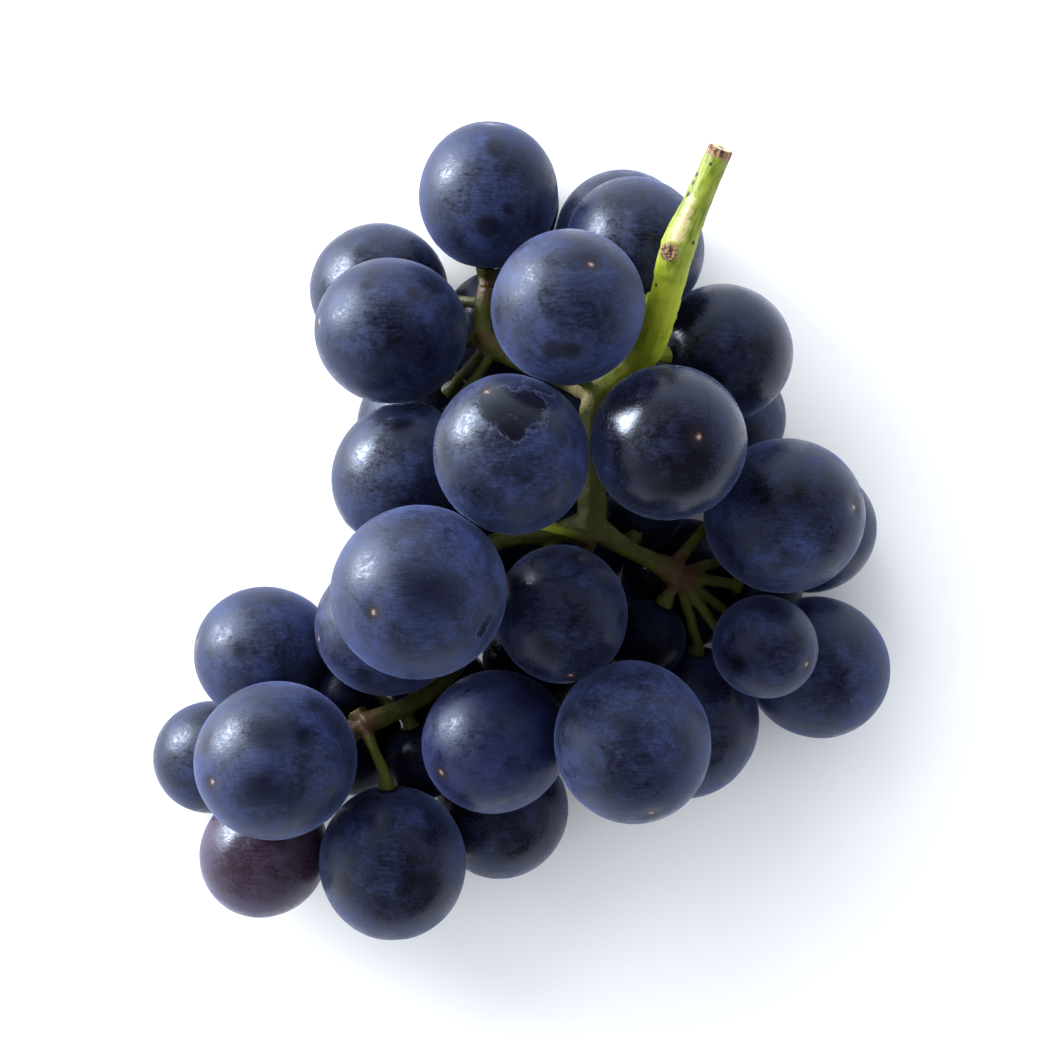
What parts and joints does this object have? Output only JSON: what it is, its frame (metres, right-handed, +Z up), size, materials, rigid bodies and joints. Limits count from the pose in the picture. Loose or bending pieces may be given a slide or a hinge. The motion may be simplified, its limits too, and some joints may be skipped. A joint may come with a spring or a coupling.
{
  "type": "bunch of grapes",
  "caption": "Small bunch of round blue-black grapes on a branched green stem with a cut stalk, lying on its side.",
  "frame": {"origin": "on the table, under the middle of the bunch's bounding box", "axes": "+X across the bunch, +Y along it towards the cut end of the stalk, +Z up from the table"},
  "size_m": [0.1028, 0.1096, 0.0542],
  "materials": {
    "skin": "blue-black skin under a pale waxy bloom",
    "reddish_skin": "unripe purple-red skin under a pale waxy bloom",
    "stem": "fresh green stem, brown at the cut end and at the knots"
  },
  "bodies": {
    "root": {"berry_01": "skin", "berry_02": "skin", "berry_03": "skin", "berry_04": "skin", "berry_05": "skin", "berry_06": "skin", "berry_07": "skin", "berry_08": "skin", "berry_09": "skin", "berry_10": "skin", "berry_11": "skin", "berry_12": "skin", "berry_13": "skin", "berry_14": "skin", "berry_15": "skin", "berry_16": "skin", "berry_17": "skin", "berry_18": "skin", "berry_19": "skin", "berry_20": "skin", "berry_21": "skin", "berry_22": "skin", "berry_23": "skin", "berry_24": "skin", "berry_25": "skin", "berry_26": "reddish_skin", "berry_27": "skin", "berry_28": "skin", "berry_29": "skin", "berry_30": "skin", "berry_31": "skin", "berry_32": "skin", "berry_33": "skin", "berry_34": "skin", "berry_35": "skin", "berry_36": "skin", "berry_37": "skin", "berry_38": "skin", "berry_39": "skin", "berry_40": "skin", "berry_41": "skin", "berry_42": "skin", "berry_43": "skin", "stem": "stem"}
  },
  "joints": []
}
